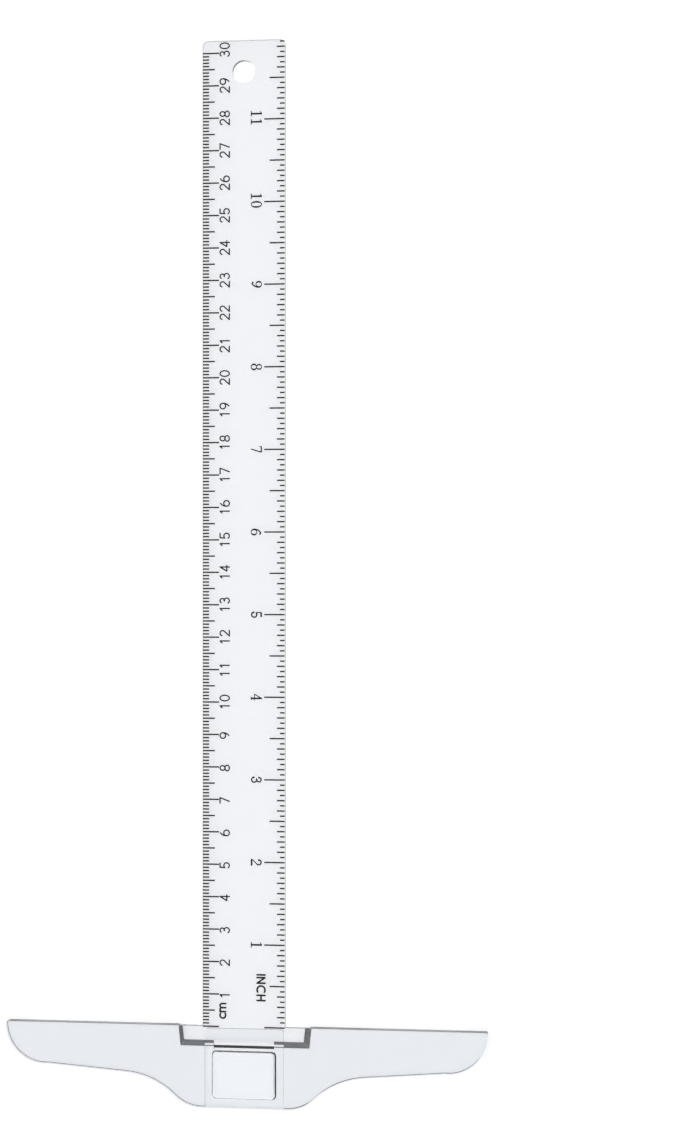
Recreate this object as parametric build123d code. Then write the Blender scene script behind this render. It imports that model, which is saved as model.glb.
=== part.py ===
from build123d import *
from math import atan2, cos, degrees, hypot, radians, sin
import os

# Junior T square: a clear moulded rule that plugs into a clear moulded head.
# Frame, in millimetres: X runs along the head, Y along the blade, Z up from the paper.
# It is modelled from the point where the blade's centre line crosses the head's working edge, and written
# with its origin at the middle of its footprint. Z is 0 at the head's underside either way.

# --- Driving dimensions -------------------------------------------------------
# Head moulding
head_width = 150.0
head_depth = 25.15           # working edge to the rear edge, at the centre
head_thickness = 3.2
head_edge_radius = 0.25      # rounding of the moulding's long edges
end_arc_radius = 12.3        # rounded tip of each wing
tip_corner_radius = 0.6      # where the tip meets the working edge
taper_angle = 4.6            # slope of each wing's rear edge
shoulder_start_x = 37.0      # where a wing starts to swell into the centre
shoulder_radius = 25.0
shoulder_angle = 44.0        # steepest slope of the shoulder

# Dovetail notch in the head: each wall leans over the notch, so it is wider at the underside
notch_half_width = 19.05     # at the working edge, at the top face
notch_depth = 4.2            # at the top face
notch_side_lean = 1.75       # how far a side wall leans over its full height
notch_rear_lean = 2.4
notch_taper = 0.1            # the sides close in by this much per millimetre of depth
notch_corner_radius = 0.35

# Socket behind the notch
socket_half_width = 12.35
socket_floor = 0.5
socket_roof = 1.6
pad_slot_half_width = 9.4
pad_slot_roof = 2.5
relief_depth = 5.75          # front edge of the thin bar over the pad slot, at the top face
relief_lean = 0.9
window_size = (19.2, 14.3)   # at the top face
window_centre_y = -14.9
window_corner_radius = 1.1
window_lean = 0.4            # how far the walls lean over the window
window_lean_start = 2.2      # they are upright below this height

# Blade moulding
blade_half_width = 12.85
blade_length = 303.9         # working edge to the top end
blade_thickness = 1.8
blade_edge_radius = 0.12
ear_edge_radius = 0.2        # front edges of the dovetail ears
blade_corner_radius = 1.75
hang_hole_radius = 3.5
hang_hole_y = 294.2
pin_mark_y = 64.0            # ejector pin mark
pin_mark_radius = 0.6
gate_mark_y = 300.4          # stub where the moulding gate was trimmed
gate_mark_radius = 0.45
mark_depth = 0.15

# Tongue and snap pad below the blade's foot
fit_gap = 0.1                # clearance between the two mouldings
tongue_half_width = 12.25
tongue_shift_x = -0.05       # it sits nearer the socket's left side
tongue_front_y = -0.85
tongue_rear_y = -25.0
tongue_bottom = 0.6
tongue_top = 1.5
tongue_corner_radius = 0.8
pad_size = (18.3, 13.6)
pad_centre_y = -14.9
pad_top = 2.4
pad_corner_radius = 1.0

# Printed scales
ink_thickness = 0.05
tick_width = 0.45
tick_outer_x = 12.73         # ticks stop just short of the blade's rounded edge
millimetre_tick = 1.95
half_centimetre_tick = 3.75
centimetre_tick = 5.05
sixteenth_tick = 1.45
eighth_tick = 2.4
half_inch_tick = 4.7
inch_tick = 6.35
last_centimetre = 30
last_sixteenth = 191         # the twelfth inch would fall beyond the blade's end
inch = 25.4
sans_height = 3.3
sans_width = 2.15
sans_stroke = 0.42
sans_pitch = 2.5             # from one digit to the next
centimetre_baseline_x = -4.27
top_numeral_shift = 1.0      # the last numeral stands a little above its tick
single_digit_shift = -0.3    # one-digit centimetre numbers stand a little below theirs
serif_height = 3.5
serif_width = 2.15
serif_pitch = 2.5
serif_thick = 0.54
serif_thin = 0.26
two_digit_shift = 0.45       # two-digit inch numbers stand a little above their ticks
inch_baseline_x = 2.2
label_height = 3.0
label_stroke = 0.55
label_centre_y = 12.2
label_baseline_x = 3.9
unit_height = 2.3
unit_baseline_x = -5.35
unit_centre_y = 4.9

blade_top = head_thickness
blade_bottom = blade_top - blade_thickness


# --- Solids -------------------------------------------------------------------
def block(x_low, x_high, y_low, y_high, z_low, z_high):
    """An axis-aligned box between two corners."""
    size = Box(x_high - x_low, y_high - y_low, z_high - z_low)
    return Pos((x_low + x_high) / 2, (y_low + y_high) / 2, (z_low + z_high) / 2) * size


def rounded_block(size, centre_y, z_low, z_high, radius):
    """A rounded rectangle centred on the blade's axis."""
    outline = Pos(0, centre_y, z_low) * RectangleRounded(size[0], size[1], radius)
    return extrude(outline, z_high - z_low)


def head_outline():
    """The head's outline: two tapering wings that swell into a deeper centre."""
    arc_x = head_width / 2 - end_arc_radius
    arc_y = -tip_corner_radius
    taper = radians(taper_angle)
    taper_start = (arc_x - end_arc_radius * sin(taper), arc_y - end_arc_radius * cos(taper))
    run = taper_start[0] - shoulder_start_x
    shoulder_start = (shoulder_start_x, taper_start[1] - run * sin(taper) / cos(taper))
    slope = radians(shoulder_angle)
    shoulder_end = (
        shoulder_start[0] - shoulder_radius * (sin(slope) - sin(taper)),
        shoulder_start[1] - shoulder_radius * (cos(taper) - cos(slope)),
    )
    heel_radius = (head_depth + shoulder_end[1]) / (1 - cos(slope))
    heel_end = (shoulder_end[0] - heel_radius * sin(slope), -head_depth)
    tip_top = (head_width / 2 - tip_corner_radius, 0)
    tip_side = (head_width / 2, arc_y)

    working_edge = Line((0, 0), tip_top)
    tip_corner = RadiusArc(tip_top, tip_side, tip_corner_radius)
    end_arc = RadiusArc(tip_side, taper_start, end_arc_radius)
    rear_taper = Line(taper_start, shoulder_start)
    shoulder = TangentArc(shoulder_start, shoulder_end, tangent=(-cos(taper), -sin(taper)))
    heel = TangentArc(shoulder_end, heel_end, tangent=shoulder % 1)
    rear_edge = Line(heel_end, (0, -head_depth))
    half = [working_edge, tip_corner, end_arc, rear_taper, shoulder, heel, rear_edge]
    edges = half + [edge.mirror(Plane.YZ) for edge in half]
    return make_face(edges)


def notch_section(z, gap, front_y):
    """The dovetail's outline at height z, drawn in by gap all round."""
    drop = 1 - z / head_thickness
    half_width = notch_half_width + notch_side_lean * drop - gap
    rear_y = -(notch_depth + notch_rear_lean * drop) + gap
    front_half = half_width + notch_taper * front_y
    rear_half = half_width + notch_taper * rear_y
    corners = [(-front_half, front_y), (-rear_half, rear_y), (rear_half, rear_y), (front_half, front_y)]
    return Pos(0, 0, z) * make_face(Polyline(*corners, close=True))


def dovetail(z_low, z_high, gap, front_y):
    """The dovetail's solid between two heights, with its rear corners rounded."""
    solid = loft([notch_section(z_low, gap, front_y), notch_section(z_high, gap, front_y)], ruled=True)
    leaning = solid.edges().filter_by(lambda edge: abs((edge @ 1 - edge @ 0).Z) > 0.5)
    rear_corners = leaning.sort_by(Axis.Y)[:2]
    return fillet(rear_corners, notch_corner_radius - gap)


def ears():
    """The blade's dovetail, with rounded front edges."""
    solid = dovetail(blade_bottom, blade_top, fit_gap, 0)
    front = solid.faces().sort_by(Axis.Y)[-1]
    long_edges = front.edges().filter_by(lambda edge: abs((edge @ 1 - edge @ 0).Z) < 0.1)
    return fillet(long_edges, ear_edge_radius)


def relief():
    """Cut-back of the top face in front of the thin bar that the pad snaps under."""
    front_y = -(notch_depth - 1)
    lower_y = -(relief_depth + relief_lean)
    slot = make_face(Polyline(
        (front_y, pad_slot_roof),
        (lower_y, pad_slot_roof),
        (-relief_depth, head_thickness),
        (-relief_depth, head_thickness + 1),
        (front_y, head_thickness + 1),
        close=True,
    ))
    across = Plane(origin=(-pad_slot_half_width, 0, 0), x_dir=(0, 1, 0), z_dir=(1, 0, 0))
    return extrude(across * slot, 2 * pad_slot_half_width)


def window():
    """The opening that the pad sits in: its walls lean over it near the top face."""
    wide = (window_size[0] + 2 * window_lean, window_size[1] + 2 * window_lean)
    wide_radius = window_corner_radius + window_lean
    shaft = rounded_block(wide, window_centre_y, socket_roof, window_lean_start, wide_radius)
    wide_outline = Pos(0, window_centre_y, window_lean_start) * RectangleRounded(*wide, wide_radius)
    rim = Pos(0, window_centre_y, head_thickness) * RectangleRounded(*window_size, window_corner_radius)
    return shaft + loft([wide_outline, rim], ruled=True)


def head():
    """Clear moulded head: wings, dovetail notch, socket for the tongue and window for the pad."""
    body = extrude(head_outline(), head_thickness)
    rims = body.edges().group_by(Axis.Z)
    body = fillet(rims[0] + rims[-1], head_edge_radius)
    body -= dovetail(0, head_thickness, 0, 1)
    behind_head = -(head_depth + 1)
    behind_corners = window_centre_y + window_size[1] / 2 - window_corner_radius - window_lean
    body -= block(-socket_half_width, socket_half_width, behind_head, -notch_depth, socket_floor, socket_roof)
    body -= block(
        -pad_slot_half_width, pad_slot_half_width, behind_corners, -notch_depth, socket_roof, pad_slot_roof
    )
    body -= relief()
    body -= window()
    return body


def blade_plate():
    """The flat rule above the working edge, with rounded top corners."""
    plate = block(-blade_half_width, blade_half_width, -notch_depth / 2, blade_length, blade_bottom, blade_top)
    top_corners = plate.edges().filter_by(Axis.Z).group_by(Axis.Y)[-1]
    plate = fillet(top_corners, blade_corner_radius)
    rims = plate.faces().sort_by(Axis.Z)
    long_edges = (rims[0].edges() + rims[-1].edges()).filter_by(lambda edge: edge.center().Y > 0)
    return fillet(long_edges, blade_edge_radius)


def blade():
    """Clear moulded rule with dovetail ears, a lower tongue and its snap pad."""
    body = blade_plate()
    body += ears()
    tongue_size = (2 * tongue_half_width, tongue_front_y - tongue_rear_y)
    tongue_centre_y = (tongue_front_y + tongue_rear_y) / 2
    tongue = rounded_block(tongue_size, tongue_centre_y, tongue_bottom, tongue_top, tongue_corner_radius)
    body += Pos(tongue_shift_x, 0) * tongue
    body += rounded_block(pad_size, pad_centre_y, tongue_top, pad_top, pad_corner_radius)
    body -= Pos(0, hang_hole_y, blade_bottom + blade_thickness / 2) * Cylinder(hang_hole_radius, 4 * blade_thickness)
    for mark_y, mark_radius in ((pin_mark_y, pin_mark_radius), (gate_mark_y, gate_mark_radius)):
        body -= Pos(0, mark_y, blade_top) * Cylinder(mark_radius, 2 * mark_depth)
    return body


# --- Strokes and letters ------------------------------------------------------
def stroke(start, end, width):
    """A straight pen stroke with round ends."""
    length = hypot(end[0] - start[0], end[1] - start[1])
    angle = degrees(atan2(end[1] - start[1], end[0] - start[0]))
    middle = Pos((start[0] + end[0]) / 2, (start[1] + end[1]) / 2)
    return middle * Rot(0, 0, angle) * SlotCenterToCenter(length, width)


def bar(x_low, x_high, y_low, y_high):
    """A square-ended bar."""
    return Pos((x_low + x_high) / 2, (y_low + y_high) / 2) * Rectangle(x_high - x_low, y_high - y_low)


def bow(centre, radius, start, sweep, width):
    """A round pen stroke: part of a circle, with round ends."""
    return SlotArc(CenterArc(centre, radius, start, sweep), width)


def ring(centre, half_width, half_height, side_width, end_width):
    """An oval ring, whose sides and ends may differ in weight."""
    outer = Ellipse(half_width, half_height)
    inner = Ellipse(half_width - side_width, half_height - end_width)
    return Pos(*centre) * (outer - inner)


def sans_digit(digit):
    """A light digit drawn with one pen, standing on the X axis and centred on the Y axis."""
    w, h, s = sans_width / 2 - sans_stroke / 2, sans_height, sans_stroke
    low, high = s / 2, h - s / 2
    bowl = w * 0.98
    if digit == 0:
        return ring((0, h / 2), sans_width / 2, h / 2, s, s)
    if digit == 1:
        return stroke((0.1, low), (0.1, high), s) + stroke((0.1, high), (-0.55 * w, high - 0.6), s)
    if digit == 2:
        top = (0, high - 0.92 * w)
        turn = radians(-38)
        neck = (0.92 * w * cos(turn), top[1] + 0.92 * w * sin(turn))
        shape = bow(top, 0.92 * w, 165, -203, s)
        return shape + stroke(neck, (-w, low), s) + stroke((-w, low), (w, low), s)
    if digit == 3:
        upper, lower = 0.78 * w, 0.95 * w
        shape = bow((0, high - upper), upper, 150, -240, s)
        shape += bow((0, low + lower), lower, 90, -240, s)
        return shape + stroke((-0.1, h - s - 2 * upper + s / 2), (0, low + 2 * lower), s)
    if digit == 4:
        shape = stroke((0.45 * w, low), (0.45 * w, high), s)
        shape += stroke((0.45 * w, high), (-w, 0.3 * h), s)
        return shape + stroke((-w, 0.3 * h), (w, 0.3 * h), s)
    if digit == 5:
        shape = stroke((-0.7 * w, high), (0.8 * w, high), s)
        shape += stroke((-0.7 * w, high), (-0.78 * w, low + 1.65 * bowl), s)
        return shape + bow((-0.05, low + bowl), bowl, 140, -285, s)
    if digit == 7:
        return stroke((-w, high), (w, high), s) + stroke((w, high), (-0.3 * w, low), s)
    if digit == 8:
        lower_half = 0.27 * h
        upper_half = (h - 2 * lower_half + s) / 2
        shape = ring((0, lower_half), sans_width / 2, lower_half, s, s)
        return shape + ring((0, h - upper_half), 0.43 * sans_width, upper_half, s, s)
    six = ring((0, low + w), w + s / 2, w + s / 2, s, s)
    six += bow((1.55 * w, low + 1.15 * w), 2.55 * w, 180, -52, s)
    if digit == 6:
        return six
    return Pos(0, h) * Rot(0, 0, 180) * six


def serif_digit(digit):
    """A bold digit with thick and thin strokes, standing on the X axis and centred on the Y axis."""
    w, h, thick, thin = serif_width / 2, serif_height, serif_thick, serif_thin
    low, high = thin / 2, h - thin / 2
    if digit == 0:
        return ring((0, h / 2), w, h / 2, thick, thin)
    if digit == 1:
        shape = bar(-thick / 2, thick / 2, 0, h)
        shape += bar(-0.8 * w, 0.8 * w, 0, 1.2 * thin)
        return shape + stroke((-0.1, high), (-0.6 * w, h - 0.55), thin)
    if digit == 2:
        radius = 0.72 * w
        top = (0, h - radius - thick / 2)
        turn = radians(-40)
        neck = (radius * cos(turn), top[1] + radius * sin(turn))
        shape = bow(top, radius, 150, -190, thick * 0.8)
        shape += Pos(-0.62 * w, top[1] + 0.1) * Circle(0.6 * thick)
        shape += stroke(neck, (-0.75 * w, thick), 1.2 * thin)
        return shape + stroke((-0.75 * w, thick / 2), (0.8 * w, thick / 2), thick)
    if digit == 3:
        upper, lower = 0.62 * w, 0.72 * w
        shape = bow((0, h - thick / 2 - upper), upper, 150, -240, thick * 0.8)
        shape += bow((0, thick / 2 + lower), lower, 90, -240, thick * 0.8)
        shape += stroke((-0.3, thick / 2 + 2 * lower), (0, thick / 2 + 2 * lower), 1.5 * thin)
        shape += Pos(-0.6 * w, h - thick / 2 - upper) * Circle(0.55 * thick)
        return shape + Pos(-0.66 * w, thick / 2 + 0.8 * lower) * Circle(0.6 * thick)
    if digit == 4:
        stem = 0.35 * w
        shape = bar(stem - thick / 2, stem + thick / 2, 0, h)
        shape += stroke((stem, high), (-0.85 * w, 0.32 * h), 1.2 * thin)
        shape += bar(-0.9 * w, 0.95 * w, 0.29 * h, 0.36 * h)
        return shape + bar(stem - 0.5 * w, stem + 0.5 * w, 0, 1.1 * thin)
    if digit == 5:
        radius = 0.75 * w
        shape = bow((0, thick / 2 + radius), radius, 125, -270, thick * 0.85)
        shape += stroke((-0.6 * w, high - 0.3), (-0.6 * w, thick / 2 + 1.75 * radius), 1.3 * thin)
        shape += bar(-0.66 * w, 0.7 * w, h - thick, h)
        return shape + Pos(-0.62 * w, thick / 2 + 0.75 * radius) * Circle(0.6 * thick)
    if digit == 7:
        shape = bar(-0.85 * w, 0.85 * w, h - 0.8 * thick, h)
        shape += stroke((-0.8 * w, high), (-0.8 * w, h - 0.75), thin)
        return shape + stroke((0.72 * w, h - 0.8 * thick), (-0.1 * w, 0.35 * thick), 0.7 * thick)
    if digit == 8:
        lower_half = 0.28 * h
        upper_half = (h - 2 * lower_half + thin) / 2
        shape = ring((0, lower_half), w, lower_half, thick, thin)
        return shape + ring((0, h - upper_half), 0.86 * w, upper_half, thick * 0.85, thin)
    bowl = 0.29 * h
    six = ring((0, bowl), w, bowl, thick, thin)
    six += bow((1.25 * w, 1.15 * bowl), 2.05 * w, 178, -58, 0.8 * thick)
    six += Pos(0.55 * w, h - 0.62) * Circle(0.55 * thick)
    if digit == 6:
        return six
    return Pos(0, h) * Rot(0, 0, 180) * six


def number(value, draw, pitch):
    """A number's digits side by side, centred on the Y axis."""
    digits = [int(character) for character in str(value)]
    first = -(len(digits) - 1) * pitch / 2
    return [Pos(first + place * pitch, 0) * draw(digit) for place, digit in enumerate(digits)]


def unit_letters():
    """The letters c and m, centred on the Y axis."""
    s = label_stroke
    high = unit_height - s / 2
    low = s / 2
    radius = (high - low) / 2
    letter_c = bow((-1.4, low + radius), radius, 55, 250, s)
    left, middle, right = -0.3, 0.95, 2.2
    arch = (middle - left) / 2
    letter_m = stroke((left, low), (left, high), s)
    for foot in (middle, right):
        letter_m += stroke((foot, low), (foot, high - arch), s)
        letter_m += bow((foot - arch, high - arch), arch, 0, 180, s)
    return [letter_c, letter_m]


def inch_letters():
    """The letters I, N, C and H, centred on the Y axis."""
    s = label_stroke
    high = label_height - s / 2
    low = s / 2
    letter_i = stroke((-4.0, low), (-4.0, high), s)
    letter_n = stroke((-3.15, low), (-3.15, high), s) + stroke((-1.45, low), (-1.45, high), s)
    letter_n += stroke((-3.15, high), (-1.45, low), s)
    radius = (high - low) / 2
    letter_c = bow((0.65, low + radius), radius, 58, 244, s)
    letter_h = stroke((2.3, low), (2.3, high), s) + stroke((3.9, low), (3.9, high), s)
    letter_h += stroke((2.3, label_height / 2), (3.9, label_height / 2), s)
    return [letter_i, letter_n, letter_c, letter_h]


def print_up(shapes, baseline_x, centre_y):
    """Ink read towards the blade's top end, with the letters' heads to the left."""
    return [extrude(Pos(baseline_x, centre_y, blade_top) * Rot(0, 0, 90) * shape, ink_thickness)
            for shape in shapes]


def print_down(shapes, baseline_x, centre_y):
    """Ink read towards the head, with the letters' heads to the right."""
    return [extrude(Pos(baseline_x, centre_y, blade_top) * Rot(0, 0, -90) * shape, ink_thickness)
            for shape in shapes]


def tick(side, y, length):
    """One printed tick, from the blade's edge inwards."""
    x_outer = side * tick_outer_x
    x_inner = side * (tick_outer_x - length)
    half = tick_width / 2
    return block(min(x_outer, x_inner), max(x_outer, x_inner), y - half, y + half,
                 blade_top, blade_top + ink_thickness)


# --- The scales ---------------------------------------------------------------
def metric_ticks():
    """The millimetre scale's ticks on the left edge, sorted by length."""
    ticks = {"millimetre_ticks": [], "half_centimetre_ticks": [], "centimetre_ticks": []}
    for count in range(10 * last_centimetre + 1):
        if count % 10 == 0:
            ticks["centimetre_ticks"].append(tick(-1, count, centimetre_tick))
        elif count % 5 == 0:
            ticks["half_centimetre_ticks"].append(tick(-1, count, half_centimetre_tick))
        else:
            ticks["millimetre_ticks"].append(tick(-1, count, millimetre_tick))
    return ticks


def imperial_ticks():
    """The inch scale's ticks on the right edge, sorted by length."""
    ticks = {"sixteenth_inch_ticks": [], "eighth_inch_ticks": [], "half_inch_ticks": [], "inch_ticks": []}
    for count in range(last_sixteenth + 1):
        y = count * inch / 16
        if count % 16 == 0:
            ticks["inch_ticks"].append(tick(1, y, inch_tick))
        elif count % 8 == 0:
            ticks["half_inch_ticks"].append(tick(1, y, half_inch_tick))
        elif count % 2 == 0:
            ticks["eighth_inch_ticks"].append(tick(1, y, eighth_tick))
        else:
            ticks["sixteenth_inch_ticks"].append(tick(1, y, sixteenth_tick))
    return ticks


def centimetre_numerals():
    """The numbers 1 to 30 beside the centimetre ticks."""
    inked = []
    for value in range(1, last_centimetre + 1):
        shift = single_digit_shift if value < 10 else 0
        if value == last_centimetre:
            shift = top_numeral_shift
        inked += print_up(number(value, sans_digit, sans_pitch), centimetre_baseline_x, 10 * value + shift)
    return inked


def inch_numerals():
    """The numbers 1 to 11 beside the inch ticks."""
    inked = []
    for value in range(1, last_sixteenth // 16 + 1):
        shift = two_digit_shift if value > 9 else 0
        inked += print_down(number(value, serif_digit, serif_pitch), inch_baseline_x, value * inch + shift)
    return inked


def save(node, solids):
    """Write one node, moved so that the whole object's footprint is centred on the origin."""
    footprint_centre_y = (blade_length - head_depth) / 2
    moved = [Pos(0, -footprint_centre_y, 0) * piece.solid() for piece in solids]
    export_step(Compound(children=moved), f"parts/{node}.step")


def main():
    os.makedirs("parts", exist_ok=True)
    nodes = {"head": [head()], "blade": [blade()]}
    nodes.update(metric_ticks())
    nodes.update(imperial_ticks())
    nodes["centimetre_numerals"] = centimetre_numerals()
    nodes["inch_numerals"] = inch_numerals()
    nodes["centimetre_label"] = print_up(unit_letters(), unit_baseline_x, unit_centre_y)
    nodes["inch_label"] = print_down(inch_letters(), label_baseline_x, label_centre_y)
    for node, solids in nodes.items():
        save(node, solids)


main()
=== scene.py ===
import bpy
from math import radians
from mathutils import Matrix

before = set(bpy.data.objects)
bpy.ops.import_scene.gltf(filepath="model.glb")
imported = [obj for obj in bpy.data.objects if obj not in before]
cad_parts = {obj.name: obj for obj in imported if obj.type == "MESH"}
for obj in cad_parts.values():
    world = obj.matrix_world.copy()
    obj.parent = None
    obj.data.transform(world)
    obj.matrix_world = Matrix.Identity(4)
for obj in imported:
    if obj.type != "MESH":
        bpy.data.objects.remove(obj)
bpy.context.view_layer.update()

# A clear plastic T square with stamped scales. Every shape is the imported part's own: this script gives the
# materials, the floor, the light and the camera. It works in metres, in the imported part's frame: X along the
# head, Y along the blade, Z up.

# --- Camera -------------------------------------------------------------------
camera_place = (0.099294, 0.002421, 0.620)
camera_tilt = 6.4392            # degrees from straight down, about the blade's direction
camera_lens = 64.41
sensor_height = 36.0

# --- Floor --------------------------------------------------------------------
floor_drop = 0.0001             # the floor lies just below the head's underside
floor_radius = 4.0
floor_corners = 96
floor_colour = (0.92, 0.925, 0.93, 1.0)
floor_roughness = 0.9
floor_glow = 0.775              # the floor is lit from below too, like a light table
glow_colour = (1.0, 1.0, 1.0, 1.0)

# --- Sky ----------------------------------------------------------------------
sky_strength = (0.02, 0.60)     # near the horizon, and overhead
sky_rise = (0.52, 0.80)         # sines of the heights between which it brightens
backdrop = (1.0, 1.0, 1.0, 1.0)
mirror_depth = 2.5              # above the ray depth of a first reflection, below that of a second
light_bounces = 32              # enough for the stacked layers of plastic

# --- Clear plastic ------------------------------------------------------------
plastic_ior = 1.53
plastic_tint = (0.995, 0.997, 1.0, 1.0)
absorbed_colour = (0.50, 0.54, 0.60, 1.0)
head_absorption = 160.0         # per metre of plastic
blade_absorption = 200.0
head_offset = 0.0
blade_offset = 7.0              # added to each noise scale, so that the two mouldings are marked differently

polished_roughness = (0.01, 0.09)       # untouched, and rubbed by use
wall_roughness = 0.50                   # the moulding's undercut walls are less polished than its faces
lean_start = (0.41, 0.45)               # a wall leans enough to be an undercut, as its normal's |Z|
lean_end = (0.65, 0.75)                 # a wall lies too flat to be one
rub_scale = 60.0
rub_span = (0.45, 0.8)

flow_scale = 22.0                       # slow waves left by the plastic's flow in the mould
flow_strength = 0.25
flow_height = 0.0006
along_stretch = (1.0, 0.04, 1.0)        # scratches that run along the blade
along_scale = 2400.0
along_span = (0.62, 0.7)
along_strength = 0.10
across_stretch = (0.05, 1.0, 1.0)       # fewer, across it
across_scale = 2100.0
across_span = (0.66, 0.72)
across_strength = 0.06
scratch_grain = 0.7
scratch_depth = 0.00001

# --- Ink ----------------------------------------------------------------------
ink_dark = (0.006, 0.006, 0.007, 1.0)
ink_worn = (0.035, 0.035, 0.04, 1.0)
ink_scale = 900.0
ink_wear_span = (0.5, 0.8)
ink_gloss_span = (0.3, 0.7)
ink_roughness = (0.45, 0.7)
pit_scale = 5000.0
pit_strength = 0.3
pit_depth = 0.00001

even = (1.0, 1.0, 1.0)


# --- Shader pieces ------------------------------------------------------------
def empty_material(name):
    """A material with a Principled shader and nothing else."""
    material = bpy.data.materials.new(name)
    material.use_nodes = True
    tree = material.node_tree
    tree.nodes.clear()
    shader = tree.nodes.new("ShaderNodeBsdfPrincipled")
    output = tree.nodes.new("ShaderNodeOutputMaterial")
    tree.links.new(shader.outputs["BSDF"], output.inputs["Surface"])
    return material, tree, shader, output


def object_coordinates(tree, stretch):
    """Positions on the object, scaled differently along each axis."""
    place = tree.nodes.new("ShaderNodeTexCoord")
    mapping = tree.nodes.new("ShaderNodeMapping")
    mapping.inputs["Scale"].default_value = stretch
    tree.links.new(place.outputs["Object"], mapping.inputs["Vector"])
    return mapping.outputs["Vector"]


def noise(tree, vector, scale, detail, roughness=0.5):
    """A noise texture read at the given positions."""
    texture = tree.nodes.new("ShaderNodeTexNoise")
    texture.inputs["Scale"].default_value = scale
    texture.inputs["Detail"].default_value = detail
    texture.inputs["Roughness"].default_value = roughness
    tree.links.new(vector, texture.inputs["Vector"])
    return texture.outputs["Fac"]


def spread(tree, value, span, result=(0.0, 1.0)):
    """Map a value from one range to another, clamped."""
    remap = tree.nodes.new("ShaderNodeMapRange")
    remap.inputs["From Min"].default_value = span[0]
    remap.inputs["From Max"].default_value = span[1]
    remap.inputs["To Min"].default_value = result[0]
    remap.inputs["To Max"].default_value = result[1]
    tree.links.new(value, remap.inputs["Value"])
    return remap.outputs["Result"]


def bump(tree, height, strength, distance, normal=None):
    """Raise the surface's shading by a height, on top of an earlier bump."""
    raised = tree.nodes.new("ShaderNodeBump")
    raised.inputs["Strength"].default_value = strength
    raised.inputs["Distance"].default_value = distance
    tree.links.new(height, raised.inputs["Height"])
    if normal is not None:
        tree.links.new(normal, raised.inputs["Normal"])
    return raised.outputs["Normal"]


def leaning_share(tree):
    """1 on walls that lean, 0 on faces that lie flat and on walls that stand upright."""
    surface = tree.nodes.new("ShaderNodeNewGeometry")
    parts = tree.nodes.new("ShaderNodeSeparateXYZ")
    tree.links.new(surface.outputs["True Normal"], parts.inputs["Vector"])
    lying = tree.nodes.new("ShaderNodeMath")
    lying.operation = "ABSOLUTE"
    tree.links.new(parts.outputs["Z"], lying.inputs[0])
    off_upright = spread(tree, lying.outputs["Value"], lean_start)
    off_flat = spread(tree, lying.outputs["Value"], lean_end, (1.0, 0.0))
    both = tree.nodes.new("ShaderNodeMath")
    both.operation = "MULTIPLY"
    tree.links.new(off_upright, both.inputs[0])
    tree.links.new(off_flat, both.inputs[1])
    return both.outputs["Value"]


def scratches(tree, stretch, scale, span):
    """Hairline scratches, drawn out in the direction that the stretch shortens."""
    lines = noise(tree, object_coordinates(tree, stretch), scale, 2.0, scratch_grain)
    return spread(tree, lines, span)


# --- Materials ----------------------------------------------------------------
def clear_plastic(name, absorption, offset):
    """Clear injection-moulded plastic with slow flow waves, rub marks and hairline scratches."""
    material, tree, shader, output = empty_material(name)
    shader.inputs["Base Color"].default_value = plastic_tint
    shader.inputs["IOR"].default_value = plastic_ior
    shader.inputs["Transmission Weight"].default_value = 1.0

    everywhere = object_coordinates(tree, even)
    rubbed = noise(tree, everywhere, rub_scale + offset, 4.0, 0.6)
    finish = tree.nodes.new("ShaderNodeMix")
    tree.links.new(leaning_share(tree), finish.inputs["Factor"])
    tree.links.new(spread(tree, rubbed, rub_span, polished_roughness), finish.inputs["A"])
    finish.inputs["B"].default_value = wall_roughness
    tree.links.new(finish.outputs["Result"], shader.inputs["Roughness"])

    waves = bump(tree, noise(tree, everywhere, flow_scale + offset, 1.0), flow_strength, flow_height)
    along = scratches(tree, along_stretch, along_scale + offset, along_span)
    across = scratches(tree, across_stretch, across_scale + offset, across_span)
    normal = bump(tree, along, along_strength, scratch_depth, waves)
    normal = bump(tree, across, across_strength, scratch_depth, normal)
    tree.links.new(normal, shader.inputs["Normal"])

    inside = tree.nodes.new("ShaderNodeVolumeAbsorption")
    inside.inputs["Color"].default_value = absorbed_colour
    inside.inputs["Density"].default_value = absorption
    tree.links.new(inside.outputs["Volume"], output.inputs["Volume"])
    return material


def ink(name):
    """Hot-stamped black foil: matt, faintly pitted and uneven in depth."""
    material, tree, shader, _ = empty_material(name)
    everywhere = object_coordinates(tree, even)
    uneven = noise(tree, everywhere, ink_scale, 3.0, 0.65)
    colour = tree.nodes.new("ShaderNodeMix")
    colour.data_type = "RGBA"
    colour.inputs["A"].default_value = ink_dark
    colour.inputs["B"].default_value = ink_worn
    tree.links.new(spread(tree, uneven, ink_wear_span), colour.inputs["Factor"])
    tree.links.new(colour.outputs["Result"], shader.inputs["Base Color"])
    tree.links.new(spread(tree, uneven, ink_gloss_span, ink_roughness), shader.inputs["Roughness"])
    pitted = noise(tree, everywhere, pit_scale, 2.0)
    tree.links.new(bump(tree, pitted, pit_strength, pit_depth), shader.inputs["Normal"])
    return material


def dress(node_name, material):
    """Give a CAD node its material."""
    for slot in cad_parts[node_name].material_slots:
        slot.material = material


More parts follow.
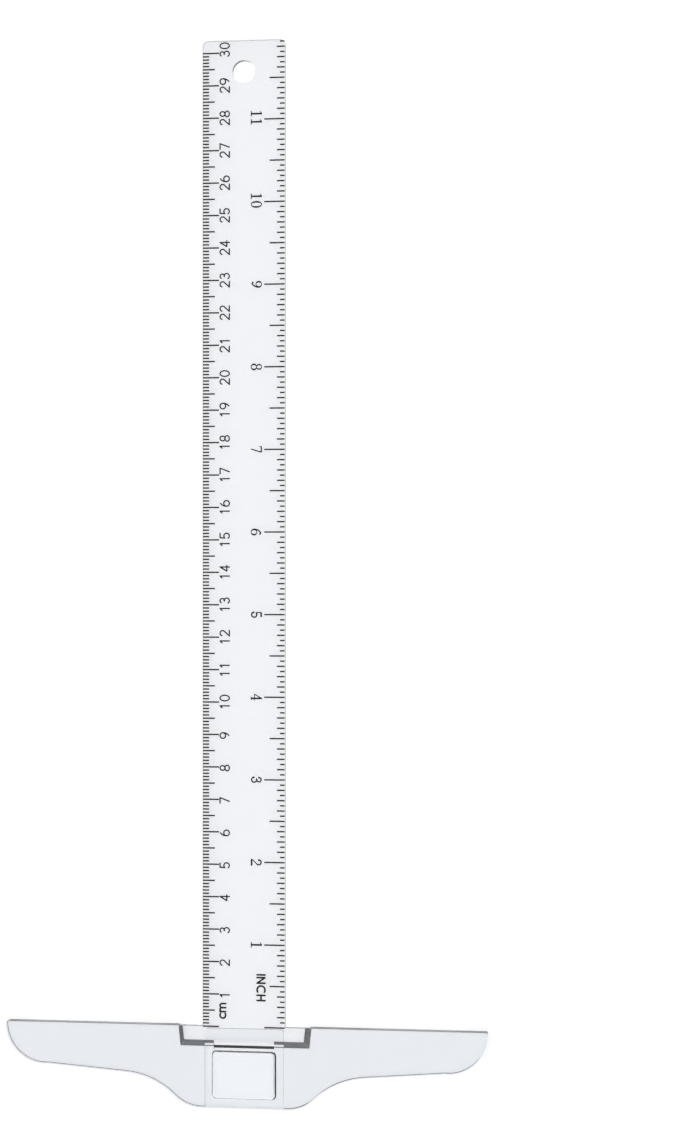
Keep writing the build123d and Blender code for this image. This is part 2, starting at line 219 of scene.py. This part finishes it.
# --- Studio -------------------------------------------------------------------
def add_floor():
    """A wide pale disc under the object."""
    bpy.ops.mesh.primitive_circle_add(
        vertices=floor_corners, radius=floor_radius, fill_type="NGON", location=(0, 0, -floor_drop)
    )
    floor = bpy.context.object
    floor.name = "floor"
    material, _, shader, _ = empty_material("pale_floor")
    shader.inputs["Base Color"].default_value = floor_colour
    shader.inputs["Roughness"].default_value = floor_roughness
    shader.inputs["Specular IOR Level"].default_value = 0.0
    shader.inputs["Emission Color"].default_value = glow_colour
    shader.inputs["Emission Strength"].default_value = floor_glow
    floor.data.materials.append(material)


def seen_or_mirrored(tree):
    """1 for rays straight from the camera or from their first reflection, 0 for all others."""
    paths = tree.nodes.new("ShaderNodeLightPath")
    first = tree.nodes.new("ShaderNodeMath")
    first.operation = "LESS_THAN"
    tree.links.new(paths.outputs["Ray Depth"], first.inputs[0])
    first.inputs[1].default_value = mirror_depth
    either = tree.nodes.new("ShaderNodeMath")
    either.operation = "MULTIPLY_ADD"
    tree.links.new(paths.outputs["Is Glossy Ray"], either.inputs[0])
    tree.links.new(first.outputs["Value"], either.inputs[1])
    tree.links.new(paths.outputs["Is Camera Ray"], either.inputs[2])
    return either.outputs["Value"]


def add_sky():
    """Soft light from overhead that falls away towards the horizon, before a pale backdrop."""
    world = bpy.data.worlds.new("studio")
    bpy.context.scene.world = world
    world.use_nodes = True
    tree = world.node_tree
    tree.nodes.clear()
    direction = tree.nodes.new("ShaderNodeTexCoord")
    parts = tree.nodes.new("ShaderNodeSeparateXYZ")
    tree.links.new(direction.outputs["Generated"], parts.inputs["Vector"])
    lighting = tree.nodes.new("ShaderNodeBackground")
    tree.links.new(spread(tree, parts.outputs["Z"], sky_rise, sky_strength), lighting.inputs["Strength"])
    seen = tree.nodes.new("ShaderNodeBackground")
    seen.inputs["Color"].default_value = backdrop
    choose = tree.nodes.new("ShaderNodeMixShader")
    tree.links.new(seen_or_mirrored(tree), choose.inputs["Fac"])
    tree.links.new(lighting.outputs["Background"], choose.inputs[1])
    tree.links.new(seen.outputs["Background"], choose.inputs[2])
    output = tree.nodes.new("ShaderNodeOutputWorld")
    tree.links.new(choose.outputs["Shader"], output.inputs["Surface"])


def add_camera():
    """The camera, high above the object and looking almost straight down."""
    data = bpy.data.cameras.new("camera")
    data.sensor_fit = "VERTICAL"
    data.sensor_height = sensor_height
    data.lens = camera_lens
    camera = bpy.data.objects.new("camera", data)
    camera.location = camera_place
    camera.rotation_euler = (0, radians(camera_tilt), 0)
    bpy.context.scene.collection.objects.link(camera)
    bpy.context.scene.camera = camera


def set_light_paths():
    """Let light pass through many layers of plastic, and leave it sharp on the way."""
    scene = bpy.context.scene
    scene.view_settings.view_transform = "Standard"
    scene.cycles.blur_glossy = 0.0
    scene.cycles.max_bounces = light_bounces
    scene.cycles.transmission_bounces = light_bounces


add_camera()
add_sky()
add_floor()
set_light_paths()

dress("head", clear_plastic("head_plastic", head_absorption, head_offset))
dress("blade", clear_plastic("blade_plastic", blade_absorption, blade_offset))
black = ink("stamped_ink")
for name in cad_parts:
    if name not in ("head", "blade"):
        dress(name, black)
